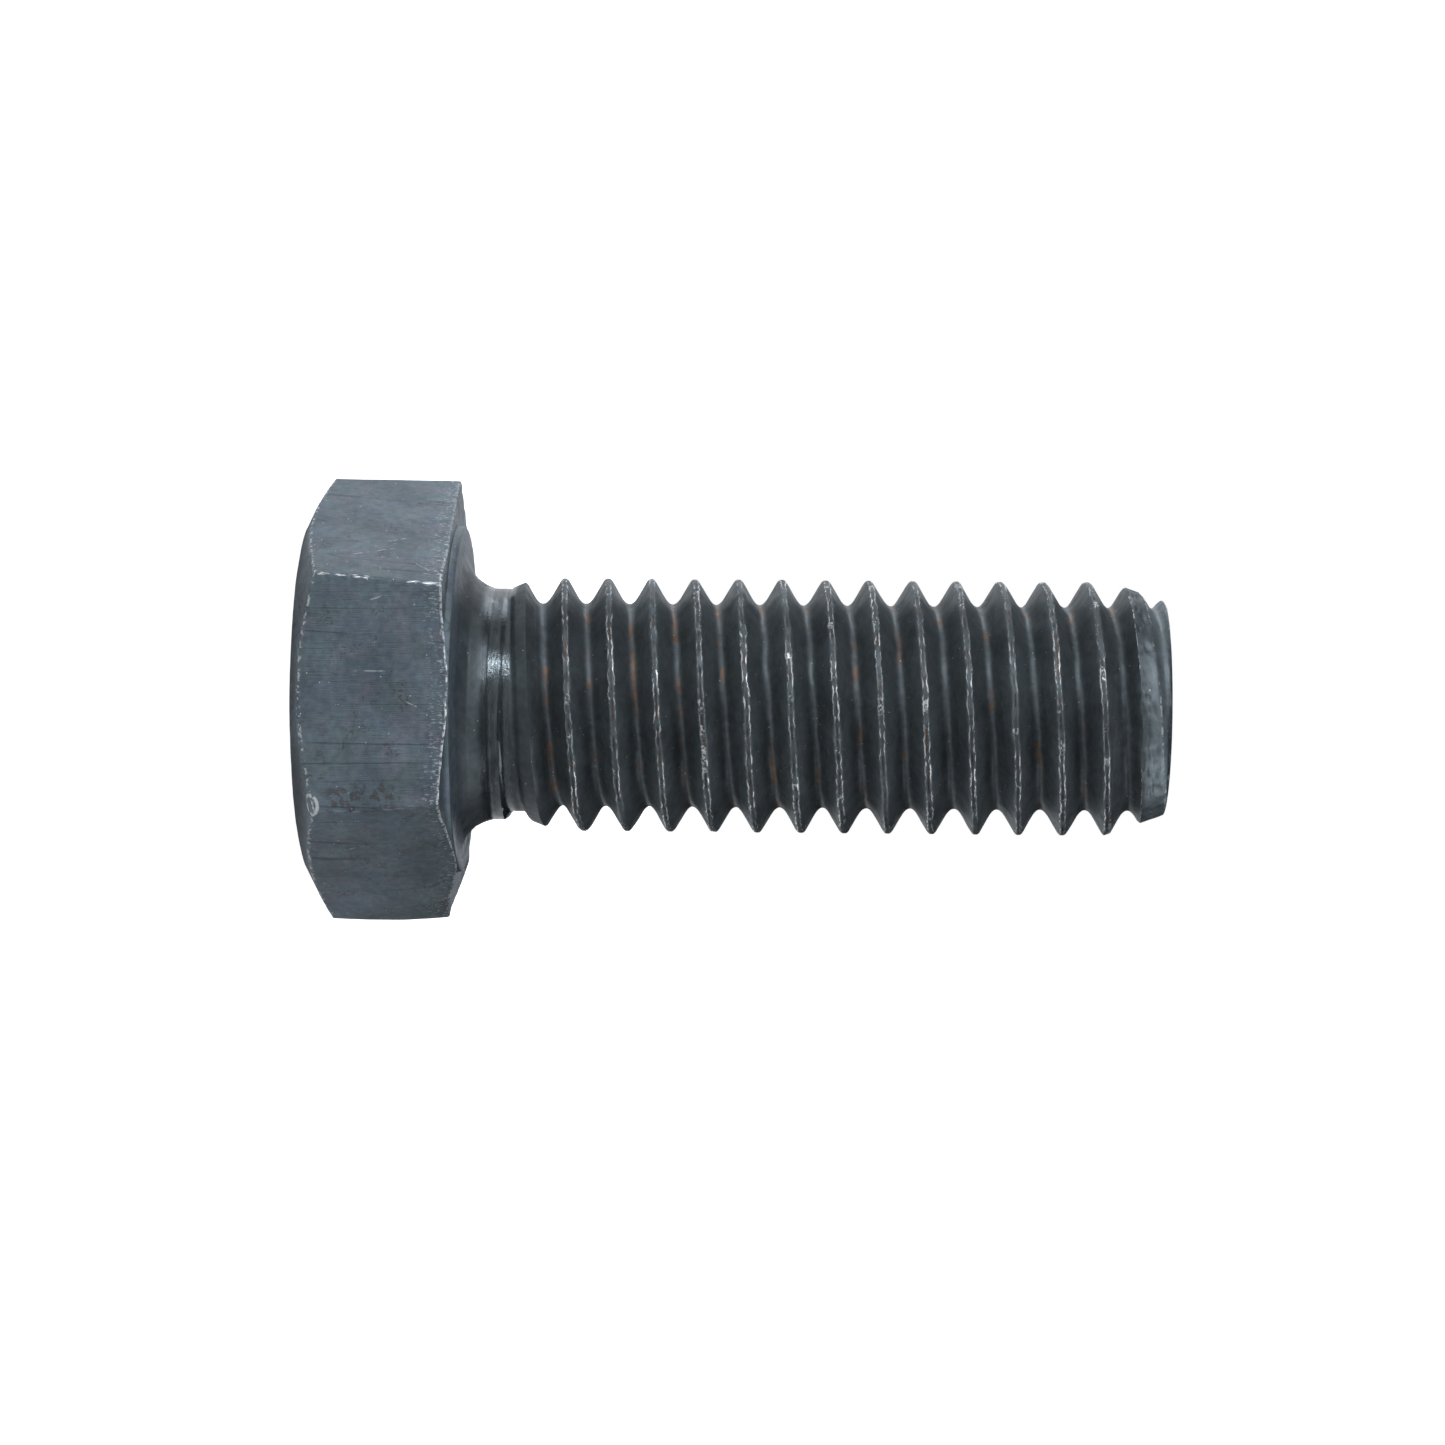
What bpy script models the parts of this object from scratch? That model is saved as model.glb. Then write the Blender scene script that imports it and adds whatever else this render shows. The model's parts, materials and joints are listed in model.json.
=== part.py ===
"""Hex bolt, 3/8-16 UNC by 1 inch, threaded to the head, headed and rolled from one piece of steel.

Metres, +Z up. The bolt stands on its head: the origin is the centre of the head's flat top, and +Z runs along
the axis from the head to the tip. Two corners of the hexagon lie on the X axis.
"""

import math

import bmesh
import bpy
from mathutils import Matrix

MM = 0.001

# Thread: 3/8-16 UNC, right-handed
PITCH = 25.4 / 16 * MM
CREST_RADIUS = 9.25 / 2 * MM
CREST_FLAT = PITCH / 8
THREAD_DEPTH = 0.5625 * PITCH
FLANK_HALF_ANGLE = math.radians(30)

# Head
HEAD_HEIGHT = 5.7 * MM
ACROSS_FLATS = 14.0 * MM
TOP_FLAT_RADIUS = 6.3 * MM
TOP_CHAMFER_ANGLE = math.radians(26)
WASHER_FACE_RADIUS = 6.3 * MM
WASHER_FACE_STEP = 0.15 * MM
UNDERSIDE_FLAT_RADIUS = 7.0 * MM
UNDERSIDE_CHAMFER_ANGLE = math.radians(15)

# Shank, with heights above the washer face
LENGTH_UNDER_HEAD = 25.45 * MM
NECK_RADIUS = 8.45 / 2 * MM
FILLET_RADIUS = 1.3 * MM
SHOULDER_START = 1.58 * MM
SHOULDER_END = 2.48 * MM
TIP_FACE_RADIUS = 3.85 * MM
TIP_ROUND_RADIUS = 3.95 * MM
TIP_ROUND_LENGTH = 0.12 * MM
TIP_CHAMFER_LENGTH = 1.85 * MM

# The crest passes this height above the washer face at this angle about the axis
CREST_HEIGHT = 3.57 * MM
CREST_ANGLE = math.radians(-175.5)

# Construction
TURN_STEPS = 32
FILLET_STEPS = 6
OVERLAP = 1.0 * MM
GROOVE_PROUD = 0.1 * MM
MERGE_DISTANCE = 0.001 * MM
SHARP_ANGLE = math.radians(20)

# Worked out from the above
CORNER_RADIUS = ACROSS_FLATS / math.sqrt(3)
ROOT_RADIUS = CREST_RADIUS - THREAD_DEPTH
ROOT_FLAT = PITCH - CREST_FLAT - 2 * THREAD_DEPTH * math.tan(FLANK_HALF_ANGLE)
BEARING_Z = HEAD_HEIGHT
TIP_Z = HEAD_HEIGHT + LENGTH_UNDER_HEAD
STEP_ANGLE = 2 * math.pi / TURN_STEPS


def clear_scene():
    for old in list(bpy.data.objects):
        bpy.data.objects.remove(old, do_unlink=True)


def new_collection(name):
    made = bpy.data.collections.new(name)
    bpy.context.scene.collection.children.link(made)
    return made


def black_oxide_steel():
    material = bpy.data.materials.new("black_oxide_steel")
    material.use_nodes = True
    shader = material.node_tree.nodes["Principled BSDF"]
    shader.inputs["Base Color"].default_value = (0.075, 0.082, 0.092, 1.0)
    shader.inputs["Metallic"].default_value = 0.85
    shader.inputs["Roughness"].default_value = 0.45
    return material


def new_object(name, bm, collection):
    mesh = bpy.data.meshes.new(name)
    bm.to_mesh(mesh)
    bm.free()
    made = bpy.data.objects.new(name, mesh)
    collection.objects.link(made)
    return made


def as_cutter(helper):
    helper.hide_render = True
    helper.display_type = "WIRE"
    return helper


def turned(name, profile, collection):
    """A solid of revolution about Z. The profile's (radius, height) points run from the top down."""
    bm = bmesh.new()
    points = [bm.verts.new((radius, 0.0, height)) for radius, height in profile]
    for first, second in zip(points, points[1:]):
        bm.edges.new((first, second))
    made = new_object(name, bm, collection)
    screw = made.modifiers.new("turn", "SCREW")
    screw.axis = "Z"
    screw.angle = 2 * math.pi
    screw.steps = TURN_STEPS
    screw.render_steps = TURN_STEPS
    screw.use_merge_vertices = True
    screw.merge_threshold = MERGE_DISTANCE
    return made


def fillet_profile():
    """The quarter round from the neck down to the washer face."""
    points = []
    for step in range(FILLET_STEPS + 1):
        angle = math.pi / 2 * step / FILLET_STEPS
        radius = NECK_RADIUS + FILLET_RADIUS * (1 - math.cos(angle))
        height = BEARING_Z + FILLET_RADIUS * (1 - math.sin(angle))
        points.append((radius, height))
    return points


def shank_blank(collection):
    """Tip, crest cylinder, shoulder, neck, fillet and washer face, before the thread is cut."""
    profile = [
        (0.0, TIP_Z),
        (TIP_FACE_RADIUS, TIP_Z),
        (TIP_ROUND_RADIUS, TIP_Z - TIP_ROUND_LENGTH),
        (CREST_RADIUS, TIP_Z - TIP_CHAMFER_LENGTH),
        (CREST_RADIUS, BEARING_Z + SHOULDER_END),
        (NECK_RADIUS, BEARING_Z + SHOULDER_START),
        *fillet_profile(),
        (WASHER_FACE_RADIUS, BEARING_Z),
        (WASHER_FACE_RADIUS, BEARING_Z - WASHER_FACE_STEP - OVERLAP),
        (0.0, BEARING_Z - WASHER_FACE_STEP - OVERLAP),
    ]
    return as_cutter(turned("shank_blank", profile, collection))


def head_envelope(collection):
    """The turned shape that gives the hexagon its flat faces and its two chamfers."""
    outside = CORNER_RADIUS + OVERLAP
    underside = BEARING_Z - WASHER_FACE_STEP
    underside_drop = (outside - UNDERSIDE_FLAT_RADIUS) * math.tan(UNDERSIDE_CHAMFER_ANGLE)
    top_rise = (outside - TOP_FLAT_RADIUS) * math.tan(TOP_CHAMFER_ANGLE)
    profile = [
        (0.0, underside),
        (UNDERSIDE_FLAT_RADIUS, underside),
        (outside, underside - underside_drop),
        (outside, top_rise),
        (TOP_FLAT_RADIUS, 0.0),
        (0.0, 0.0),
    ]
    return as_cutter(turned("head_envelope", profile, collection))


def groove_section(angle, centre, lift):
    """The four corners of the thread groove's V at one angle, moved outward by lift."""
    root = ROOT_RADIUS + lift
    mouth = CREST_RADIUS + GROOVE_PROUD + lift
    root_half = ROOT_FLAT / 2
    mouth_half = root_half + (mouth - root) * math.tan(FLANK_HALF_ANGLE)
    corners = ((root, -root_half), (root, root_half), (mouth, mouth_half), (mouth, -mouth_half))
    return [
        (radius * math.cos(angle), radius * math.sin(angle), centre + offset) for radius, offset in corners
    ]


def groove_sections():
    """One section for each step, from the neck to past the tip. The first turn runs in from the neck."""
    first_height = BEARING_Z + CREST_HEIGHT - 1.5 * PITCH
    first_step = math.ceil((CREST_ANGLE - 2 * math.pi) / STEP_ANGLE)
    steps = math.ceil((TIP_Z + PITCH - first_height) / PITCH * TURN_STEPS)
    full_lift = NECK_RADIUS - ROOT_RADIUS
    sections = []
    for step in range(first_step, first_step + steps):
        angle = step * STEP_ANGLE
        turns = (angle - CREST_ANGLE) / (2 * math.pi) + 1
        lift = full_lift * max(0.0, 1 - turns)
        sections.append(groove_section(angle, first_height + turns * PITCH, lift))
    return sections


def thread_groove(collection):
    """The helical groove between the thread's crests, as a loft through its sections."""
    bm = bmesh.new()
    rings = [[bm.verts.new(corner) for corner in section] for section in groove_sections()]
    for ring, following in zip(rings, rings[1:]):
        for side in range(4):
            after = (side + 1) % 4
            bm.faces.new((ring[side], ring[after], following[after], following[side]))
    bm.faces.new(rings[0])
    bm.faces.new(rings[-1])
    bmesh.ops.recalc_face_normals(bm, faces=bm.faces)
    bmesh.ops.triangulate(bm, faces=bm.faces)
    return as_cutter(new_object("thread_groove", bm, collection))


def hexagon(name, collection):
    """A six-sided prism that runs past both ends of the head."""
    bm = bmesh.new()
    bmesh.ops.create_cone(
        bm,
        cap_ends=True,
        segments=6,
        radius1=CORNER_RADIUS,
        radius2=CORNER_RADIUS,
        depth=HEAD_HEIGHT + 2 * OVERLAP,
        matrix=Matrix.Translation((0.0, 0.0, HEAD_HEIGHT / 2)) @ Matrix.Rotation(math.pi / 2, 4, "Z"),
    )
    return new_object(name, bm, collection)


def combine(target, operation, tool):
    boolean = target.modifiers.new(tool.name, "BOOLEAN")
    boolean.operation = operation
    boolean.solver = "EXACT"
    boolean.object = tool


def settle(target, material):
    """Applies the modifiers and shades the round faces smooth."""
    graph = bpy.context.evaluated_depsgraph_get()
    target.data = bpy.data.meshes.new_from_object(target.evaluated_get(graph))
    target.data.name = target.name
    target.modifiers.clear()
    target.data.materials.clear()
    target.data.materials.append(material)
    target.data.shade_smooth()
    target.data.set_sharp_from_angle(angle=SHARP_ANGLE)


def build_bolt():
    parts = new_collection("hex_bolt")
    cutters = new_collection("cutters")
    bolt = hexagon("hex_bolt", parts)
    combine(bolt, "INTERSECT", head_envelope(cutters))
    combine(bolt, "UNION", shank_blank(cutters))
    combine(bolt, "DIFFERENCE", thread_groove(cutters))
    settle(bolt, black_oxide_steel())


clear_scene()
build_bolt()
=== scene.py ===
"""The looks of the hex bolt: one worn black-oxide steel bolt, standing on its head on a pale floor.

Metres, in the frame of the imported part: +Z runs along the bolt from its head to its tip. The bolt is one
mesh, made of rings of points about the axis. The rings of the thread are turns of the helix itself, so that
the crests, flanks and roots each follow a row of points.
"""

import json
import math

import bpy
import numpy as np
from mathutils import Matrix, Vector, noise

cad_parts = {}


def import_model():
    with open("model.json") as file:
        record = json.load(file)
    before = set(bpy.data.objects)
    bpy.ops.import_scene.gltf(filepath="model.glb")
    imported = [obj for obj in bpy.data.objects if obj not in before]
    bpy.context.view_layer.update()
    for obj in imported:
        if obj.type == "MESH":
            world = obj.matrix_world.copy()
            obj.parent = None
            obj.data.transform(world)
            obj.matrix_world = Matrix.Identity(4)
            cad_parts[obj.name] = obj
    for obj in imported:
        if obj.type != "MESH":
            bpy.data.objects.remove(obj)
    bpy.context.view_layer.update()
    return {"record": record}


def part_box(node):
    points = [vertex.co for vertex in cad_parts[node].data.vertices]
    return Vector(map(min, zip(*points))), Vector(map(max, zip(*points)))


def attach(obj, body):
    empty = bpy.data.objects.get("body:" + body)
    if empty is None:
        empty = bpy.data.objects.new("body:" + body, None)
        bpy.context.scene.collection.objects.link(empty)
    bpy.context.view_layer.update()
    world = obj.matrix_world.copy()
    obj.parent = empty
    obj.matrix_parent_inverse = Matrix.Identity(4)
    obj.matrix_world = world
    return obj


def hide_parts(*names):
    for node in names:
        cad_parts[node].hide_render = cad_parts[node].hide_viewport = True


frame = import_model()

MM = 0.001
MOUNTS = {mount["name"]: mount["pos_m"] for mount in frame["record"]["mounts"]}

# Sizes in millimetres, from the frame
BOLT_BOX = [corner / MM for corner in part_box("hex_bolt")]
TIP_Z = BOLT_BOX[1].z
BEARING_Z = MOUNTS["washer_face"][2] / MM
HALF_FLATS = MOUNTS["wrench_flat_back"][1] / MM

# Thread, 3/8-16 UNC, in millimetres. CREST and ROOT are radii
PITCH = 25.4 / 16
CREST = 9.25 / 2
ROOT = CREST - 0.59 * PITCH
CREST_HALF = PITCH / 16
CREST_ROUNDING = 0.14
ROOT_ROUNDING = 0.3
FLANK = math.tan(math.radians(30))
# One place that the middle of the crest passes through
CREST_ANGLE = math.radians(-175.5)
CREST_Z = BEARING_Z + 3.57
# The rolled crest has a worn lip on each side of a shallow fold
LIP = 0.085
FOLD_HALF = 0.06
FOLD_DEPTH = 0.012
# How far the crest wanders, and how deep its dents and the chips at the tip are
WANDER = 0.035
DENT = 0.06
DENT_HALF = 0.16
CHIP = 0.045

# Head, in millimetres
TOP_FLAT = 6.3
CHAMFER_SLOPE = 0.5
CORNER_ROUND = 0.12
TOP_EDGE_ROUND = 0.05
WASHER_RADIUS = 6.3
WASHER_INNER_ROWS = (5.9, 5.7)
WASHER_STEP = 0.24
WASHER_TILT = 0.085
HEAD_TILT = math.radians(0.55)
HEAD_SHIFT = 0.16

# Shank, in millimetres
NECK = 8.45 / 2
FILLET = 1.3
CREASES = (BEARING_Z + 0.38, BEARING_Z + 1.05)
CREASE_DEPTH = 0.02
CREASE_HALF = 0.05
# The blank widens from the neck to a little past the crest, and then the thread cuts into it
BLANK = CREST + 0.05
SHOULDER_START = BEARING_Z + 1.59
SHOULDER_END = BEARING_Z + 2.69
SHOULDER_LEAN = 0.74
HELIX_START = BEARING_Z + FILLET + 0.16
RUN_IN_START = BEARING_Z + 1.5
RUN_IN_END = BEARING_Z + 2.35
RUN_IN_DEPTH = 0.025
TIP_FACE = 3.85
TIP_LIP = 3.93
TIP_ROUND = 0.08
TIP_SLOPE = 0.35
TIP_LEAN = 0.04

# The forged head isn't quite true. These are its flats' distances from the axis near its top and near
# its underside, for the flats at 30, 90, ... 330 degrees, and the heights where they are taken
FLATS_AT_TOP = (6.76, 7.0, 6.87, 7.15, 7.0, 7.12)
FLATS_AT_UNDERSIDE = (6.93, 7.0, 7.19, 6.80, 7.0, 6.93)
NEAR_TOP = 0.8
NEAR_UNDERSIDE = 5.0
# Heights at which the head's outline says how far the chamfer and the trimmed edge go
CHAMFER_OUTLINE_Z = 0.6
EDGE_OUTLINE_Z = 5.2
# How far each flat bulges halfway up the head
FLAT_BULGE = (0.08, 0.0, 0.0, 0.0, 0.0, 0.08)
# How far the trimmed edge of the underside is below the washer face, at 0, 30, ... 330 degrees
EDGE_DROP = (0.62, 0.2, 0.35, 0.1, 0.35, 0.25, 0.28, 0.27, 0.31, 0.07, 0.39, 0.06)
# The middle and radius of a small nick on a corner of the head's top
NICK = (3.9, -7.0, 0.7)
NICK_SIZE = 0.42
# Light scratches on the flats: the flat's angle, the height, the place across the flat, half the length
# and the slope
SCRATCHES = (
    (210, 2.75, 1.95, 0.75, -0.5),
    (210, 3.5, 0.9, 0.35, -0.6),
    (210, 4.6, 2.9, 0.3, 0.9),
    (270, 2.95, -3.37, 0.4, -0.34),
    (270, 2.9, -0.86, 0.6, 0.0),
    (270, 4.4, 0.31, 0.25, 0.45),
    (330, 2.2, -1.5, 0.4, -0.3),
)
# How bright each corner's edge is worn, at 0, 60, ... 300 degrees
CORNER_WEAR = (0.45, 0.6, 0.5, 0.45, 1.0, 0.15)
# How bright the trimmed edge of the underside is worn, at 0, 30, ... 330 degrees
BURR_WEAR = (0.4, 0.4, 0.5, 0.6, 0.5, 0.4, 0.2, 0.1, 0.5, 1.0, 1.0, 0.8)

# The picture's upward direction, about the bolt's axis
VIEW_ANGLE = math.radians(-178.2)
IMAGE_UP = Vector((math.cos(VIEW_ANGLE), math.sin(VIEW_ANGLE), 0))
BOLT_AXIS = Vector((0, 0, 1))
TOWARD_CAMERA = BOLT_AXIS.cross(IMAGE_UP)

# The kinds of worn edge that each point has its distance from, which is FAR when it isn't near one
FAR = 9.0
DISTANCES = ("corner", "chamfer", "burr", "crest", "land")

# Points about the axis in a turn of the thread and on one of the head's flats, and the thread's rows of
# points, in millimetres from the middle of the crest
TURN_POINTS = 192
FLAT_POINTS = 44
CREST_ROWS = (0.0, 0.03, 0.06, 0.09, 0.12, 0.17, 0.25, 0.34, 0.44, 0.54, 0.61, 0.67, 0.73)
# How near the end of the shank a point of the thread may be before the end's ring takes its place
SNAP = 0.012


def noise_at(points, size, seed, octaves=3):
    """Smooth noise from about -1 to 1 at each point, with features of about size millimetres."""
    shift = Vector((13.1 * seed, 7.7 * seed, 3.3 * seed))
    return np.array([noise.fractal(Vector(p) / size + shift, 1.0, 2.0, octaves) for p in points])


def smooth_step(low, high, value):
    """0 below low, 1 above high and a smooth change between."""
    share = np.clip((value - low) / (high - low), 0.0, 1.0)
    return share * share * (3 - 2 * share)


def smooth_min(a, b, width):
    """The lower of a and b, with a rounded change from one to the other."""
    mix = np.clip(0.5 + 0.5 * (b - a) / width, 0.0, 1.0)
    return b * (1 - mix) + a * mix - width * mix * (1 - mix)


# ---- the head ----

def hexagon_radius(angle):
    """The hexagon's radius at an angle, with rounded corners. The corners are at 0, 60, ... degrees."""
    sixth = math.pi / 3
    from_flat = np.abs((angle % sixth) - sixth / 2)
    centre = (HALF_FLATS - CORNER_ROUND) / math.cos(sixth / 2)
    flat = HALF_FLATS / np.cos(from_flat)
    across = centre * np.sin(sixth / 2 - from_flat)
    rounding = np.sqrt(np.maximum(CORNER_ROUND ** 2 - across ** 2, 0))
    corner = centre * np.cos(sixth / 2 - from_flat) + rounding
    turned = np.tan(from_flat) * HALF_FLATS > centre * math.sin(sixth / 2)
    return np.where(turned, corner, flat)


def head_angles():
    """Angles about the axis, closer together near the hexagon's corners."""
    steps = np.linspace(-1, 1, FLAT_POINTS, endpoint=False)
    within = np.sign(steps) * (1 - (1 - np.abs(steps)) ** 2.2) * math.pi / 6
    return np.concatenate([math.pi / 6 + side * math.pi / 3 + within for side in range(6)])


def around(angle, values):
    """A value for each angle, changing smoothly between values given at equal steps around the axis."""
    place = np.mod(angle / (2 * math.pi), 1) * len(values)
    before = np.floor(place).astype(int)
    share = smooth_step(0, 1, place - before)
    first = np.take(values, before % len(values))
    second = np.take(values, (before + 1) % len(values))
    return first + (second - first) * share


def outline(angles, height):
    """The angle and radius of the head's side at a height, for points that start out at these angles."""
    lean = (height - NEAR_TOP) / (NEAR_UNDERSIDE - NEAR_TOP)
    flats = [
        top + (under - top) * lean + bulge * 4 * lean * (1 - lean)
        for top, under, bulge in zip(FLATS_AT_TOP, FLATS_AT_UNDERSIDE, FLAT_BULGE)
    ]
    corners = []
    for k in range(6):
        before, after = flats[k - 1], flats[k]
        corner = (before + after) / math.sqrt(3) + 1j * (after - before)
        corners.append(corner * np.exp(1j * math.pi / 3 * k))
    side = np.floor(angles / (math.pi / 3) + 1e-9).astype(int)
    from_middle = angles - (side + 0.5) * math.pi / 3
    share = 0.5 + 0.5 * np.tan(from_middle) / math.tan(math.pi / 6)
    columns = np.arange(len(angles))
    corners = np.array(corners)
    start = corners[side % 6, columns]
    end = corners[(side + 1) % 6, columns]
    rounding = hexagon_radius(angles) / (HALF_FLATS / np.cos(from_middle))
    point = (start + (end - start) * share) * rounding
    return np.angle(point), np.abs(point)


def bearing_z(angles):
    """The washer face, which leans a little."""
    return BEARING_Z - WASHER_TILT * (1 + np.cos(angles))


def underside_z(angles, radius, edge):
    """The head's underside: a shallow step below the washer face, then a slope to the ragged edge."""
    places = np.stack([np.cos(angles) * 7, np.sin(angles) * 7, 0 * angles], axis=1)
    ragged = 0.035 * noise_at(places, 0.9, 1) + 0.02 * noise_at(places, 0.2, 2)
    share = np.clip((radius - WASHER_RADIUS) / (edge - WASHER_RADIUS), 0, 1) ** 1.4
    step = bearing_z(angles) - WASHER_STEP
    return step + (BEARING_Z - around(angles, EDGE_DROP) + ragged - step) * share


def head_rows(columns):
    """Rows of points from the centre of the head's top round to the washer face."""
    chamfer_edge = outline(columns, CHAMFER_OUTLINE_Z + 0 * columns)[1]
    chamfer_z = (chamfer_edge - TOP_FLAT) * CHAMFER_SLOPE
    angles, full = outline(columns, chamfer_z)
    from_corner = np.abs((columns + math.pi / 6) % (math.pi / 3) - math.pi / 6) * full
    rows = []
    for share in (0.12, 0.25, 0.4, 0.55, 0.7, 0.82, 0.91, 0.97):
        rows.append(Row(angles, TOP_FLAT * share, 0))
    for share in (0.0, 0.06, 0.15, 0.3, 0.45, 0.6, 0.75, 0.88, 0.96):
        radius = TOP_FLAT + (full - TOP_EDGE_ROUND - TOP_FLAT) * share
        height = chamfer_z * (radius - TOP_FLAT) / (full - TOP_FLAT)
        rows.append(Row(angles, radius, height, chamfer=full - radius))
    under_angles, edge = outline(columns, EDGE_OUTLINE_Z + 0 * columns)
    edge_z = underside_z(under_angles, edge, edge)
    for share in (0.006, 0.02, 0.05, *np.linspace(0.1, 0.9, 15), 0.95, 0.975, 0.988):
        height = chamfer_z + (edge_z - chamfer_z) * share
        distances = {"corner": from_corner, "chamfer": height - chamfer_z, "burr": edge_z - height}
        rows.append(Row(*outline(columns, height), height, **distances))
    return rows + underside_rows(*outline(columns, edge_z))


def underside_rows(angles, full):
    """Rows from the head's trimmed edge, full away from the axis, in to the washer face."""
    rows = []
    for inset in (0.03, 0.1, 0.25):
        rows.append(Row(angles, full - inset, underside_z(angles, full - inset, full), burr=inset))
    inner = WASHER_RADIUS + 0.06
    for share in (0.35, 0.6, 0.8, 0.93, 1.0):
        radius = full - 0.25 + (inner - full + 0.25) * share
        rows.append(Row(angles, radius, underside_z(angles, radius, full), burr=full - radius))
    rows.append(Row(angles, WASHER_RADIUS + 0.01, bearing_z(angles) - 0.04))
    rows.append(Row(angles, WASHER_RADIUS - 0.05, bearing_z(angles)))
    rows.append(Row(angles, WASHER_INNER_ROWS[0], bearing_z(angles)))
    return rows


# ---- the shank ----

def fillet_rows(angles):
    """Rows from the washer face down the fillet to the neck."""
    base = bearing_z(angles)
    rows = [Row(angles, WASHER_INNER_ROWS[1], base)]
    for turn in np.linspace(0, math.pi / 2, 31)[:-1]:
        radius = NECK + FILLET * (1 - math.sin(turn))
        height = base + (BEARING_Z + FILLET - base) * (1 - math.cos(turn))
        creases = sum(np.exp(-(((height - place) / CREASE_HALF) ** 2)) for place in CREASES)
        rows.append(Row(angles, radius - CREASE_DEPTH * creases, height))
    return rows


def envelope(height, angles):
    """The radius of the blank: neck, shoulder, crest, tip. The shoulder and the tip lean a little."""
    start = SHOULDER_START + SHOULDER_LEAN * (1 + np.cos(angles)) / 2
    shoulder = NECK + (BLANK - NECK) * (height - start) / (SHOULDER_END - SHOULDER_START)
    blank = np.maximum(NECK, np.minimum(BLANK, shoulder))
    from_tip = TIP_Z - height
    chamfer = TIP_LIP + (from_tip - TIP_ROUND) * TIP_SLOPE
    lip = TIP_FACE + np.sqrt(np.clip(from_tip / TIP_ROUND, 0, 1)) * (TIP_LIP - TIP_FACE)
    tip = np.where(from_tip < TIP_ROUND, lip, chamfer) - TIP_LEAN * np.cos(angles)
    return np.minimum(blank, tip)


def thread_profile(across):
    """The radius at a distance across from the middle of the crest, in millimetres."""
    flank = CREST - (across - CREST_HALF) / FLANK
    crest = CREST - FOLD_DEPTH * np.clip(1 - across / FOLD_HALF, 0, 1) ** 1.2
    top = smooth_min(flank, crest, CREST_ROUNDING)
    return -smooth_min(-top, -(ROOT + 0 * across), ROOT_ROUNDING)


def groove_floor(heights, groove_middle):
    """The least radius that the thread's groove may have: it starts shallow on the neck and runs in."""
    depth = NECK - ROOT - RUN_IN_DEPTH
    floor = NECK - RUN_IN_DEPTH - depth * smooth_step(RUN_IN_START, RUN_IN_END, groove_middle)
    return floor + 0.04 * smooth_step(BEARING_Z + 1.6, BEARING_Z + 1.48, heights)


def turn_positions():
    """Where the rows lie within one pitch, in millimetres from the middle of the crest."""
    before_next = [PITCH - row for row in reversed(CREST_ROWS[1:])]
    return np.array([*CREST_ROWS, PITCH / 2, *before_next])


def shank_grid(low, high):
    """Angles, heights, radii, distances from worn edges and rows per turn of the helical grid."""
    positions = turn_positions()
    turns = math.ceil((high - low) / PITCH) + 3
    start = CREST_Z - PITCH * math.ceil((CREST_Z - low) / PITCH + 1)
    rows = np.concatenate([start + PITCH * turn + positions for turn in range(turns)])
    angles = CREST_ANGLE + 2 * math.pi * np.arange(TURN_POINTS) / TURN_POINTS
    heights = rows[:, None] + PITCH * (angles - CREST_ANGLE)[None, :] / (2 * math.pi)
    phase = np.tile(positions, turns)[:, None] + 0 * heights
    circle = np.stack([np.cos(angles) * CREST, np.sin(angles) * CREST, 0 * angles], axis=1)
    points = (circle[None] + heights[..., None] * np.array([0, 0, 1])).reshape(-1, 3)
    wander = WANDER * noise_at(points, 1.2, 5, octaves=3).reshape(heights.shape)
    dents = smooth_step(0.32, 0.6, noise_at(points, 0.45, 6, octaves=2)).reshape(heights.shape)
    chips = smooth_step(0.1, 0.45, noise_at(points, 0.3, 7, octaves=3)).reshape(heights.shape)

    across = np.abs((phase + wander + PITCH / 2) % PITCH - PITCH / 2)
    floor = groove_floor(heights, heights - phase + PITCH / 2)
    chipped = CHIP * chips * smooth_step(TIP_Z - 2.0, TIP_Z - 1.4, heights)
    blank = envelope(heights, angles[None, :]) - chipped
    thread = thread_profile(across) - DENT * dents * np.exp(-((across / DENT_HALF) ** 2))
    groove = -smooth_min(-thread, -floor, 0.03)
    radii = smooth_min(blank, groove, 0.02)

    narrow = blank < CREST - 0.02
    near_crest = np.where(narrow, FAR, across)
    cut_end = narrow & (heights > TIP_Z - 2.5)
    near_land = np.where(cut_end, np.abs(groove - blank), FAR)
    return angles, heights, radii, near_crest, near_land, len(positions)


# ---- putting the mesh together ----

class Row:
    """One turn of points about the axis, with their distances from the worn edges that they are near."""

    def __init__(self, angles, radii, heights, **distances):
        zero = np.zeros_like(angles)
        self.angles = angles
        self.radii = radii + zero
        self.heights = heights + zero
        self.distances = [distances.get(name, FAR) + zero for name in DISTANCES]


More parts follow.
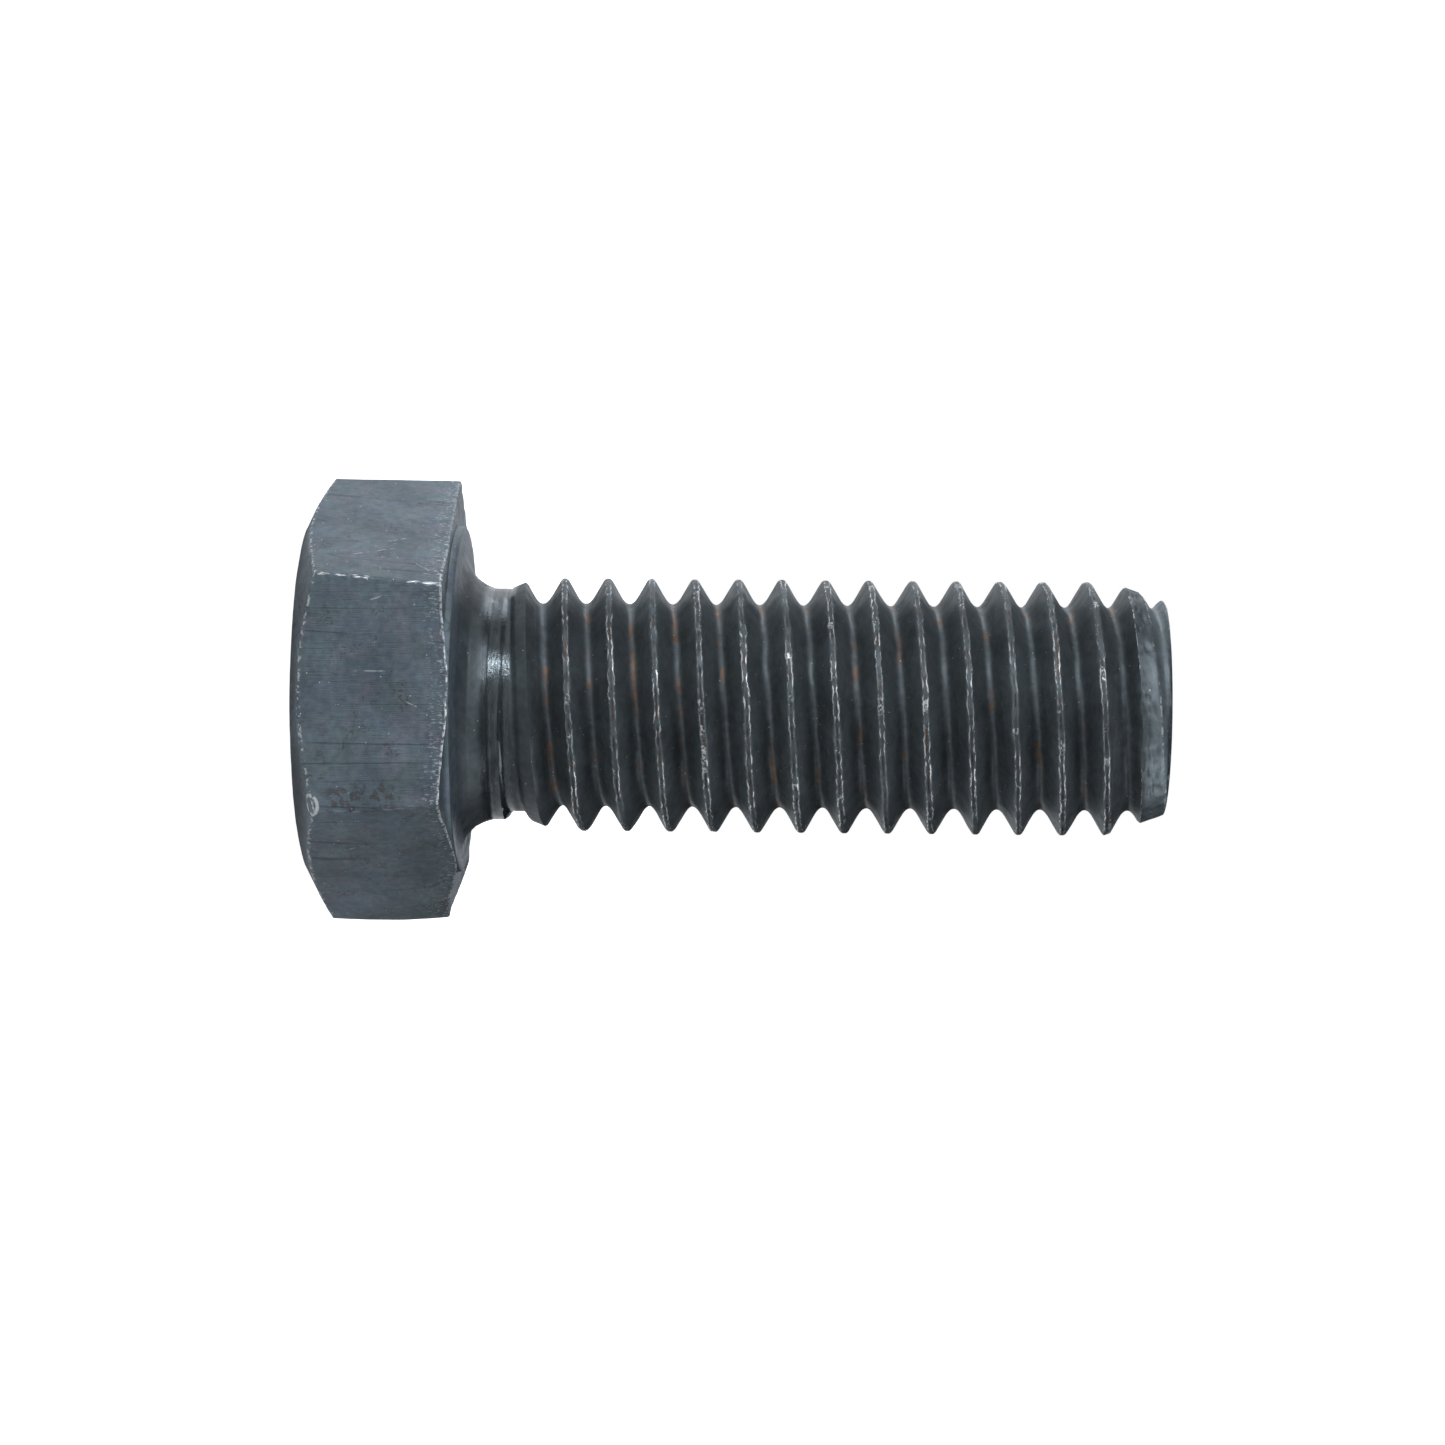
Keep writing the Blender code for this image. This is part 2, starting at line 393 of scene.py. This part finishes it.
class Skin:
    """Points and faces of the one closed surface, with each point's distances from worn edges."""

    def __init__(self):
        self.points = []
        self.faces = []
        self.distances = []

    def add(self, radius, angle, height, distances=(FAR,) * len(DISTANCES)):
        """Adds a point and gives its number."""
        self.points.append((radius * math.cos(angle), radius * math.sin(angle), height))
        self.distances.append(distances)
        return len(self.points) - 1

    def ring(self, row):
        """Adds a row's points and gives their numbers."""
        values = zip(row.radii, row.angles, row.heights, zip(*row.distances))
        return [self.add(*value) for value in values]

    def join(self, lower, upper):
        """Quads between two rings of the same number of points."""
        count = len(lower)
        for i in range(count):
            after = (i + 1) % count
            self.faces.append((lower[i], lower[after], upper[after], upper[i]))

    def add_rows(self, rows, previous):
        """Adds rings one after another, each joined to the one before, and gives the last."""
        for row in rows:
            ring = self.ring(row)
            self.join(previous, ring)
            previous = ring
        return previous

    def tilt_head(self):
        """Turns and shifts all the points so far a little, since the forged head sits askew."""
        turn = Matrix.Rotation(HEAD_TILT, 3, BOLT_AXIS.cross(IMAGE_UP))
        middle = BOLT_AXIS * BEARING_Z
        moved = middle + IMAGE_UP * HEAD_SHIFT
        turned = [moved + turn @ (Vector(p) - middle) for p in self.points]
        self.points = [(p.x, p.y, max(p.z, 0.0)) for p in turned]

    def fan(self, centre, ring, outward_up):
        """Triangles from a ring to its centre."""
        count = len(ring)
        for i in range(count):
            after = (i + 1) % count
            face = (centre, ring[i], ring[after])
            self.faces.append(face if outward_up else face[::-1])

    def zip_rings(self, lower, lower_angles, upper, upper_angles):
        """Triangles between two rings with different numbers of points, in order of angle."""
        full = 2 * math.pi
        first = sorted(zip(np.mod(lower_angles, full), lower))
        second = sorted(zip(np.mod(upper_angles, full), upper))
        i = j = 0
        while i < len(first) or j < len(second):
            next_first = first[(i + 1) % len(first)][0] + full * ((i + 1) // len(first))
            next_second = second[(j + 1) % len(second)][0] + full * ((j + 1) // len(second))
            a = first[i % len(first)][1]
            b = second[j % len(second)][1]
            if j >= len(second) or (i < len(first) and next_first <= next_second):
                self.faces.append((a, first[(i + 1) % len(first)][1], b))
                i += 1
            else:
                self.faces.append((a, second[(j + 1) % len(second)][1], b))
                j += 1

    def helix_points(self, grid, low_ring, high_ring, low, high):
        """The numbers of the thread's points. Those past either end are that end's ring instead."""
        angles, heights, radii, near_crest, near_land = grid[:5]
        rows, columns = heights.shape
        index = np.zeros((rows, columns), int)
        for m in range(rows):
            for i in range(columns):
                height = heights[m, i]
                if height <= low + SNAP:
                    index[m, i] = low_ring[i]
                elif height >= high - SNAP:
                    index[m, i] = high_ring[i]
                else:
                    distances = (FAR, FAR, FAR, near_crest[m, i], near_land[m, i])
                    index[m, i] = self.add(radii[m, i], angles[i], height, distances)
        return index

    def helix_faces(self, index, per_turn):
        """Quads between the thread's rows. After a whole turn, a row goes on as the one per_turn later."""
        rows, columns = index.shape
        for m in range(rows - 1 - per_turn):
            for i in range(columns):
                after, step = (i + 1, 0) if i + 1 < columns else (0, per_turn)
                corners = (
                    index[m, i],
                    index[m + step, after],
                    index[m + 1 + step, after],
                    index[m + 1, i],
                )
                kept = [c for n, c in enumerate(corners) if c != corners[n - 1]]
                if len(kept) > 2 and len(set(kept)) == len(kept):
                    self.faces.append(tuple(int(c) for c in kept))


def bolt_skin():
    """The whole surface, from the centre of the head's top round to the centre of the tip."""
    skin = Skin()
    head = head_rows(head_angles())
    top = skin.ring(head[0])
    skin.fan(skin.add(0.0, 0.0, 0.0), top, outward_up=False)
    washer = skin.add_rows(head[1:], top)
    skin.tilt_head()

    grid = shank_grid(HELIX_START, TIP_Z)
    angles, per_turn = grid[0], grid[-1]
    fillet = fillet_rows(angles)
    inner = skin.ring(fillet[0])
    skin.zip_rings(washer, head[-1].angles, inner, angles)
    collar = [Row(angles, NECK, HELIX_START - below) for below in (0.14, 0.1, 0.05, 0.0)]
    neck = skin.add_rows([*fillet[1:], *collar], inner)

    tip = skin.ring(Row(angles, TIP_FACE, TIP_Z))
    skin.helix_faces(skin.helix_points(grid, neck, tip, HELIX_START, TIP_Z), per_turn)
    tip_rows = [Row(angles, TIP_FACE * share, TIP_Z) for share in (0.95, 0.8, 0.6, 0.4, 0.2)]
    skin.fan(skin.add(0.0, 0.0, TIP_Z), skin.add_rows(tip_rows, tip), outward_up=True)
    return skin


def roughen(mesh):
    """Moves the points a few microns along their normals, so that no face is perfectly flat or round."""
    count = len(mesh.vertices)
    points = np.empty(count * 3, np.float32)
    normals = np.empty(count * 3, np.float32)
    mesh.vertices.foreach_get("co", points)
    mesh.vertex_normals.foreach_get("vector", normals)
    points = points.reshape(-1, 3) / MM
    normals = normals.reshape(-1, 3)
    waves = 0.012 * noise_at(points, 1.6, 3, octaves=2)
    ripples = 0.006 * noise_at(points, 0.35, 4, octaves=2)
    points = points + normals * (waves + ripples)[:, None]
    points[:, 2] = np.clip(points[:, 2], 0, TIP_Z)
    mesh.vertices.foreach_set("co", (points * MM).astype(np.float32).ravel())
    mesh.update()


def add_values(mesh, name, values):
    """Stores one number for each point, for the material to read."""
    attribute = mesh.attributes.new(name, "FLOAT", "POINT")
    attribute.data.foreach_set("value", values.astype(np.float32))


def bolt_object():
    """The bolt, with each point's distances from worn edges and how worn they are there."""
    skin = bolt_skin()
    mesh = bpy.data.meshes.new("hex_bolt_skin")
    mesh.from_pydata([Vector(p) * MM for p in skin.points], [], skin.faces)
    mesh.validate()
    roughen(mesh)
    mesh.shade_smooth()
    mesh.set_sharp_from_angle(angle=math.radians(48))
    for name, values in zip(DISTANCES, np.array(skin.distances).T):
        add_values(mesh, name, values)
    points = np.array(skin.points)
    turned = np.arctan2(points[:, 1], points[:, 0])
    add_values(mesh, "corner_wear", around(turned, CORNER_WEAR))
    add_values(mesh, "burr_wear", around(turned, BURR_WEAR))
    bolt = bpy.data.objects.new("hex_bolt_skin", mesh)
    bpy.context.scene.collection.objects.link(bolt)
    return bolt


# ---- the material ----

class Recipe:
    """Short ways to write a material's nodes. Sizes are in millimetres on the part."""

    def __init__(self, name):
        self.material = bpy.data.materials.new(name)
        self.material.use_nodes = True
        self.nodes = self.material.node_tree.nodes
        self.links = self.material.node_tree.links
        self.shader = self.nodes["Principled BSDF"]
        place = self.nodes.new("ShaderNodeTexCoord").outputs["Object"]
        self.place = self.vector("SCALE", place, 1 / MM)
        self.height = self.split(self.place, "Z")

    def feed(self, socket, value):
        """Sets a socket to a value, or links another socket to it."""
        if isinstance(value, bpy.types.NodeSocket):
            self.links.new(value, socket)
        else:
            socket.default_value = value

    def vector(self, operation, first, second):
        node = self.nodes.new("ShaderNodeVectorMath")
        node.operation = operation
        self.feed(node.inputs[0], first)
        self.feed(node.inputs["Scale"] if operation == "SCALE" else node.inputs[1], second)
        return node.outputs["Vector"]

    def length(self, value):
        """A vector's length."""
        node = self.nodes.new("ShaderNodeVectorMath")
        node.operation = "LENGTH"
        self.feed(node.inputs[0], value)
        return node.outputs["Value"]

    def along(self, direction):
        """How far a place is from the origin in a direction, in millimetres."""
        node = self.nodes.new("ShaderNodeVectorMath")
        node.operation = "DOT_PRODUCT"
        self.feed(node.inputs[0], self.place)
        self.feed(node.inputs[1], direction)
        return node.outputs["Value"]

    def facing(self, degrees):
        """How far a place is from the axis, along the normal of the flat at this angle."""
        turned = math.radians(degrees)
        return self.along((math.cos(turned), math.sin(turned), 0))

    def scratch(self, degrees, height, across, half, slope):
        """A thin line on the flat at this angle."""
        turned = math.radians(degrees)
        line = self.along((-math.sin(turned), math.cos(turned), -slope))
        off_line = self.math("ABSOLUTE", self.math("SUBTRACT", line, across - slope * height))
        off_middle = self.math("ABSOLUTE", self.math("SUBTRACT", self.height, height))
        on_flat = self.step(self.facing(degrees), 6.2, 6.4)
        within = self.step(off_middle, half, half * 0.8)
        return self.both(self.step(off_line, 0.038, 0.010), within, on_flat)

    def split(self, value, axis):
        node = self.nodes.new("ShaderNodeSeparateXYZ")
        self.feed(node.inputs["Vector"], value)
        return node.outputs[axis]

    def math(self, operation, *values):
        node = self.nodes.new("ShaderNodeMath")
        node.operation = operation
        for socket, value in zip(node.inputs, values):
            self.feed(socket, value)
        return node.outputs["Value"]

    def near(self, name):
        """The distance from a kind of edge, as the mesh gives it."""
        node = self.nodes.new("ShaderNodeAttribute")
        node.attribute_name = name
        return node.outputs["Fac"]

    def noise(self, size, detail=3.0, stretch=(1, 1, 1), shift=0.0):
        """Noise from 0 to 1 around 0.5. Features are about size millimetres, and longer where stretched."""
        node = self.nodes.new("ShaderNodeTexNoise")
        scaled = self.vector("MULTIPLY", self.place, [1 / (size * s) for s in stretch])
        moved = self.vector("ADD", scaled, (shift, shift * 1.7, shift * 2.3))
        self.feed(node.inputs["Vector"], moved)
        node.inputs["Scale"].default_value = 1.0
        node.inputs["Detail"].default_value = detail
        return node.outputs["Fac"]

    def cells(self, size):
        """The distance from the nearest of scattered points, in cells, and each cell's random value."""
        node = self.nodes.new("ShaderNodeTexVoronoi")
        self.feed(node.inputs["Vector"], self.vector("SCALE", self.place, 1 / size))
        node.inputs["Scale"].default_value = 1.0
        return node.outputs["Distance"], self.split(node.outputs["Color"], "X")

    def step(self, value, low, high):
        """0 below low and 1 above high, or the other way round if low is the higher."""
        node = self.nodes.new("ShaderNodeMapRange")
        node.interpolation_type = "SMOOTHSTEP"
        self.feed(node.inputs["Value"], value)
        node.inputs["From Min"].default_value = low
        node.inputs["From Max"].default_value = high
        return node.outputs["Result"]

    def blend(self, amount, first, second):
        """A colour between first and second."""
        node = self.nodes.new("ShaderNodeMix")
        node.data_type = "RGBA"
        self.feed(node.inputs["Factor"], amount)
        for name, value in (("A", first), ("B", second)):
            linked = isinstance(value, bpy.types.NodeSocket)
            self.feed(node.inputs[name], value if linked else (*value, 1.0))
        return node.outputs["Result"]

    def between(self, amount, first, second):
        """A number between first and second."""
        node = self.nodes.new("ShaderNodeMix")
        self.feed(node.inputs["Factor"], amount)
        self.feed(node.inputs["A"], first)
        self.feed(node.inputs["B"], second)
        return node.outputs["Result"]

    def both(self, *masks):
        """The product of the masks, so that all of them have to hold."""
        result = masks[0]
        for mask in masks[1:]:
            result = self.math("MULTIPLY", result, mask)
        return result

    def either(self, *masks):
        """The highest of the masks, so that any of them may hold."""
        result = masks[0]
        for mask in masks[1:]:
            result = self.math("MAXIMUM", result, mask)
        return result


OXIDE_BLUE = (0.082, 0.104, 0.126)
OXIDE_GREEN = (0.086, 0.110, 0.121)
OXIDE_VIOLET = (0.094, 0.106, 0.125)
OXIDE_THREAD = (0.086, 0.100, 0.105)
OXIDE_DARK = (0.036, 0.045, 0.051)
BARE_STEEL = (0.62, 0.64, 0.64)
RUST = (0.16, 0.078, 0.040)
FOLD_BROWN = (0.045, 0.032, 0.026)

# Heights between which a part of the bolt fades into the next, in millimetres
THREAD_FADE = (7.3, 7.8)
NECK_FADE = (7.9, 7.6)
BURNISHED_FADE = (7.7, 7.5)
# The tip's painted reflection fades in between these heights
TIP_FADE = (TIP_Z - 1.1, TIP_Z - 0.6)


class Zones:
    """Masks for the parts of the bolt that look different from each other."""

    def __init__(self, r):
        self.head = r.step(r.height, BEARING_Z + 0.05, BEARING_Z - 0.05)
        self.thread = r.step(r.height, *THREAD_FADE)
        self.neck = r.both(r.step(r.height, BEARING_Z, BEARING_Z + 0.3), r.step(r.height, *NECK_FADE))
        low = r.step(r.height, BEARING_Z + 0.65, BEARING_Z + 0.95)
        self.burnished = r.both(low, r.step(r.height, *BURNISHED_FADE))
        # Where the tip's painted reflection is laid on
        self.tip = r.step(r.height, *TIP_FADE)


class Grains:
    """Noises and distances that more than one of the functions below use."""

    def __init__(self, r):
        self.mottle = r.noise(0.45, 5.0, shift=5.0)
        self.fine = r.noise(0.055, 3.0, shift=9.0)
        self.streak = r.noise(0.05, 3.0, stretch=(1, 1, 14), shift=3.0)
        self.crest = r.near("crest")
        self.from_nick = r.length(r.vector("SUBTRACT", r.place, NICK))


def oxide(r, zones, grains):
    """The mottled oxide, with dark lines drawn along the head's flats."""
    colour = r.blend(r.step(r.noise(1.3, 4.0), 0.4, 0.6), OXIDE_BLUE, OXIDE_GREEN)
    colour = r.blend(r.step(r.noise(0.9, 4.0, shift=6.0), 0.5, 0.62), colour, OXIDE_VIOLET)
    dark = r.both(r.step(grains.mottle, 0.5, 0.32), r.step(grains.fine, 0.35, 0.6))
    colour = r.blend(r.math("MULTIPLY", dark, 0.5), colour, OXIDE_DARK)
    wave = r.noise(0.8, 1.0, stretch=(1, 1, 60), shift=61.0)
    off_line = r.math("ABSOLUTE", r.math("SUBTRACT", wave, 0.5))
    line_places = r.step(r.noise(1.8, 2.0, stretch=(1, 1, 3), shift=63.0), 0.44, 0.52)
    lines = r.both(zones.head, r.step(off_line, 0.011, 0.003), line_places)
    streak_places = r.step(r.noise(1.5, 3.0, shift=65.0), 0.45, 0.65)
    streaks = r.both(zones.head, r.step(grains.streak, 0.37, 0.26), streak_places)
    colour = r.blend(r.math("MULTIPLY", r.either(streaks, lines), 0.65), colour, OXIDE_DARK)
    return r.blend(r.math("MULTIPLY", r.either(zones.thread, zones.neck), 0.75), colour, OXIDE_THREAD)


def head_pits(r, zones):
    """Small dark pits: a few anywhere on the head, and more on one flat beside its lower corner."""
    by_corner = r.both(r.step(r.near("corner"), 1.2, 0.5), r.step(r.near("corner_wear"), 0.35, 0.2))
    by_corner = r.both(by_corner, r.step(r.facing(270), 6.85, 6.95), r.step(r.height, 1.0, 1.8))
    coarse = r.step(r.noise(0.24, 4.0, shift=77.0), 0.52, 0.60)
    corner_pits = r.both(by_corner, r.step(r.height, 4.4, 3.4), coarse)
    pitted = r.step(r.noise(0.9, 3.0, shift=69.0), 0.56, 0.66)
    fine = r.step(r.noise(0.11, 4.0, shift=71.0), 0.52, 0.60)
    return r.both(zones.head, r.either(corner_pits, r.both(pitted, fine)), 0.6)


def thread_colour(r, zones, grains, colour):
    """Brown in the crest's fold, rust in some folds and roots, and paler crests and roots."""
    crest = grains.crest
    fold = r.both(r.step(crest, 0.05, 0.015), r.step(r.noise(0.5, 3.0, shift=29.0), 0.4, 0.6))
    in_root = r.step(crest, PITCH / 2 - 0.17, PITCH / 2 - 0.05)
    root = r.both(in_root, r.step(crest, FAR, 1.0))
    rusty = r.both(zones.thread, r.step(r.noise(1.3, 3.0, shift=31.0), 0.50, 0.62))
    colour = r.vector("SCALE", colour, r.between(r.step(crest, 0.16, 0.09), 1.0, 1.14))
    colour = r.blend(r.both(fold, 0.8), colour, FOLD_BROWN)
    rust_grain = r.step(r.noise(0.12, 3.0, shift=33.0), 0.35, 0.6)
    rust = r.both(rusty, r.either(fold, root), rust_grain)
    colour = r.blend(r.math("MULTIPLY", rust, 0.85), colour, RUST)
    return r.vector("SCALE", colour, r.between(r.both(root, r.noise(0.5, 3.0, shift=35.0)), 1.0, 1.5))


def crest_wear(r, grains):
    """Bare metal along the two lips of the crest, and smeared over the crest in a few places."""
    crest = grains.crest
    ragged = r.math("MULTIPLY", r.math("SUBTRACT", r.noise(0.3, 5.0, shift=15.0), 0.5), 0.2)
    off_lip = r.math("ABSOLUTE", r.math("ADD", r.math("SUBTRACT", crest, LIP), ragged))
    worn_along = r.step(r.noise(0.34, 5.0, stretch=(1, 1, 0.3), shift=17.0), 0.42, 0.56)
    patchy = r.step(r.noise(2.2, 3.0, shift=21.0), 0.38, 0.6)
    lips = r.both(r.step(off_lip, 0.027, 0.008), worn_along, r.between(patchy, 0.10, 0.95))
    smear = r.both(r.step(r.noise(0.8, 3.0, shift=25.0), 0.62, 0.68), r.step(crest, 0.15, 0.09))
    smear = r.both(smear, r.step(r.noise(0.09, 3.0, shift=27.0), 0.45, 0.6), 0.7)
    return r.either(lips, smear)


def corner_wear(r):
    """Bare metal in flakes along the corners between the head's flats."""
    waver = r.math("MULTIPLY", r.math("SUBTRACT", r.noise(0.5, 3.0, shift=47.0), 0.5), 0.22)
    off_corner = r.math("ABSOLUTE", r.math("ADD", r.near("corner"), waver))
    flakes = r.step(r.noise(0.07, 3.0, stretch=(1, 1, 5), shift=41.0), 0.40, 0.56)
    gaps = r.step(r.noise(0.9, 3.0, shift=45.0), 0.40, 0.50)
    return r.both(r.step(off_corner, 0.07, 0.03), r.near("corner_wear"), flakes, gaps)


def edge_wear(r, zones, grains):
    """Bare metal on the head's chamfer edge, trimmed edge, nick and scratches, and on the cut-off crest."""
    flecks = r.step(r.noise(0.13, 5.0, shift=59.0), 0.50, 0.60)
    chamfer = r.both(r.step(r.near("chamfer"), 0.14, 0.03), flecks, 0.55)
    tick_grain = r.step(r.noise(0.07, 4.0, stretch=(1, 1, 2.5), shift=49.0), 0.57, 0.64)
    ticks = r.both(tick_grain, r.step(r.near("burr"), 1.0, 0.1))
    burr_grain = r.step(r.noise(0.14, 5.0, shift=53.0), 0.42, 0.54)
    burr = r.both(r.step(r.near("burr"), 0.10, 0.05), burr_grain, r.near("burr_wear"))
    land_grain = r.step(r.noise(0.2, 4.0, shift=55.0), 0.44, 0.56)
    land = r.both(r.step(r.near("land"), 0.07, 0.02), land_grain, 0.8)
    off_ring = r.math("ABSOLUTE", r.math("SUBTRACT", grains.from_nick, NICK_SIZE))
    nick_grain = r.step(r.noise(0.25, 4.0, shift=73.0), 0.42, 0.52)
    nick = r.both(r.step(off_ring, 0.09, 0.03), nick_grain, 0.7)
    scratches = r.either(*[r.scratch(*values) for values in SCRATCHES])
    scratch_grain = r.step(r.noise(0.2, 4.0, shift=75.0), 0.42, 0.58)
    scratches = r.both(scratches, zones.head, scratch_grain, 0.36)
    return r.either(scratches, nick, land, chamfer, burr, r.math("MULTIPLY", ticks, 0.35))


def brightness(r, zones, grains):
    """How much the oxide is darkened or lightened: by part of the bolt, then in patches of three sizes. The
    tip's lightening is painted light, a painted reflection of the bright surround that its end faces.
    """
    tone = r.between(zones.neck, 0.80, 0.72)
    tone = r.between(zones.head, tone, 1.2)
    # Painted reflection: the tip is lightened 1.6 times to stand in for the bright surround that its end
    # reflects
    tone = r.between(zones.tip, tone, 1.6)
    small = r.between(grains.fine, 0.8, 1.2)
    middling = r.between(r.noise(0.25, 4.0, shift=7.0), 0.62, 1.38)
    large = r.between(r.noise(1.7, 4.0, shift=8.0), 0.45, 1.55)
    return r.both(tone, small, middling, large)


def relief(r, zones, grains):
    """The height of the surface's grain, in millimetres, for the bump."""
    crinkle = r.noise(0.12, 3.0, stretch=(1, 1, 0.6), shift=51.0)
    height = r.math("MULTIPLY", grains.fine, 0.004)
    height = r.math("ADD", height, r.math("MULTIPLY", grains.mottle, 0.012))
    height = r.math("ADD", height, r.both(zones.head, grains.streak, 0.012))
    height = r.math("ADD", height, r.both(zones.burnished, crinkle, 0.006))
    in_nick = r.step(grains.from_nick, NICK_SIZE, NICK_SIZE - 0.15)
    return r.math("SUBTRACT", height, r.both(in_nick, 0.07))


def steel():
    """Black-oxide steel: mottled blue-grey, streaked along the flats, bright at worn edges and crests."""
    r = Recipe("black_oxide_steel")
    zones = Zones(r)
    grains = Grains(r)

    colour = oxide(r, zones, grains)
    colour = r.blend(head_pits(r, zones), colour, FOLD_BROWN)
    colour = thread_colour(r, zones, grains, colour)
    colour = r.vector("SCALE", colour, brightness(r, zones, grains))
    spot, chance = r.cells(0.11)
    specks = r.both(r.step(spot, 0.25, 0.12), r.step(chance, 0.974, 0.984), 0.7)
    bare = r.either(crest_wear(r, grains), corner_wear(r), edge_wear(r, zones, grains), specks)
    r.feed(r.shader.inputs["Base Color"], r.blend(bare, colour, BARE_STEEL))

    rough = r.between(r.step(grains.mottle, 0.3, 0.7), 0.44, 0.56)
    rough = r.between(bare, rough, 0.32)
    rough = r.between(zones.burnished, rough, 0.23)
    r.feed(r.shader.inputs["Roughness"], rough)
    r.shader.inputs["Metallic"].default_value = 0.65

    bump = r.nodes.new("ShaderNodeBump")
    bump.inputs["Strength"].default_value = 0.9
    bump.inputs["Distance"].default_value = MM
    r.feed(bump.inputs["Height"], relief(r, zones, grains))
    r.feed(r.shader.inputs["Normal"], bump.outputs["Normal"])
    return r.material


# ---- the room ----

def bright_to_the_eye(tree, socket, level):
    """Sets a glow that is white to the camera and dimmer as a light."""
    path = tree.nodes.new("ShaderNodeLightPath")
    glow = tree.nodes.new("ShaderNodeMapRange")
    glow.inputs["To Min"].default_value = level
    glow.inputs["To Max"].default_value = 1.0
    tree.links.new(path.outputs["Is Camera Ray"], glow.inputs["Value"])
    tree.links.new(glow.outputs["Result"], socket)


def floor(level):
    """A pale floor under the head."""
    bpy.ops.mesh.primitive_plane_add(size=1.2, location=(0, 0, 0))
    plane = bpy.context.object
    plane.name = "floor"
    material = bpy.data.materials.new("pale_floor")
    material.use_nodes = True
    shader = material.node_tree.nodes["Principled BSDF"]
    shader.inputs["Base Color"].default_value = (0.9, 0.9, 0.9, 1)
    shader.inputs["Roughness"].default_value = 0.8
    shader.inputs["Emission Color"].default_value = (1, 1, 1, 1)
    bright_to_the_eye(material.node_tree, shader.inputs["Emission Strength"], level)
    plane.data.materials.append(material)


LAMP_COLOUR = (0.95, 1.0, 1.06)
LAMP_DISTANCE = 0.3


def area_light(name, direction, size, power):
    """A square lamp facing the middle of the bolt, from a direction (right, up, toward the camera)."""
    data = bpy.data.lights.new(name, "AREA")
    data.size = size
    data.energy = power
    data.color = LAMP_COLOUR
    lamp = bpy.data.objects.new(name, data)
    lamp.visible_camera = False
    right, up, toward = direction
    way = (BOLT_AXIS * right + IMAGE_UP * up + TOWARD_CAMERA * toward).normalized()
    lamp.location = Vector((0, 0, TIP_Z / 2 * MM)) + way * LAMP_DISTANCE
    lamp.rotation_euler = way.to_track_quat("Z", "Y").to_euler()
    bpy.context.scene.collection.objects.link(lamp)


def world(level):
    """A plain white surround."""
    made = bpy.data.worlds.new("studio")
    made.use_nodes = True
    background = made.node_tree.nodes["Background"]
    background.inputs["Color"].default_value = (1, 1, 1, 1)
    bright_to_the_eye(made.node_tree, background.inputs["Strength"], level)
    bpy.context.scene.world = made


def camera():
    """A long lens almost square to the axis, with the head at the picture's left."""
    distance = 145 * MM
    yaw = math.radians(1.2)
    middle_z = 15.07 * MM
    axis_above_middle = 0.61 * MM
    roll = math.radians(0.52)
    toward = TOWARD_CAMERA * math.cos(yaw) + BOLT_AXIS * math.sin(yaw)
    level = BOLT_AXIS * math.cos(yaw) - TOWARD_CAMERA * math.sin(yaw)
    right = level * math.cos(roll) + IMAGE_UP * math.sin(roll)
    up = IMAGE_UP * math.cos(roll) - level * math.sin(roll)
    data = bpy.data.cameras.new("camera")
    data.sensor_width = 36
    data.lens = 98.73
    data.clip_start, data.clip_end = 0.01, 10
    made = bpy.data.objects.new("camera", data)
    place = Vector((0, 0, middle_z)) - up * axis_above_middle + toward * distance
    turn = Matrix((right, up, toward)).transposed()
    made.matrix_world = Matrix.Translation(place) @ turn.to_4x4()
    bpy.context.scene.collection.objects.link(made)
    bpy.context.scene.camera = made


camera()
floor(0.25)
world(0.0)
area_light("upper_right", (0.6, 0.55, 0.55), 0.2, 0.36)
area_light("behind_top", (0.0, 0.9, -0.4), 0.2, 0.40)
area_light("behind", (0.1, 0.35, -1.0), 0.3, 0.34)
area_light("lower_right", (0.7, -0.7, 0.1), 0.2, 0.33)
area_light("right", (0.75, 0.15, 0.55), 0.2, 0.18)
area_light("spark", (-0.03, 0.62, 0.77), 0.03, 0.30)
area_light("fillet_spark", (0.75, 0.62, 0.77), 0.04, 0.06)

bpy.context.scene.view_settings.view_transform = "Standard"

bolt = bolt_object()
bolt.data.materials.append(steel())
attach(bolt, "root")
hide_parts("hex_bolt")
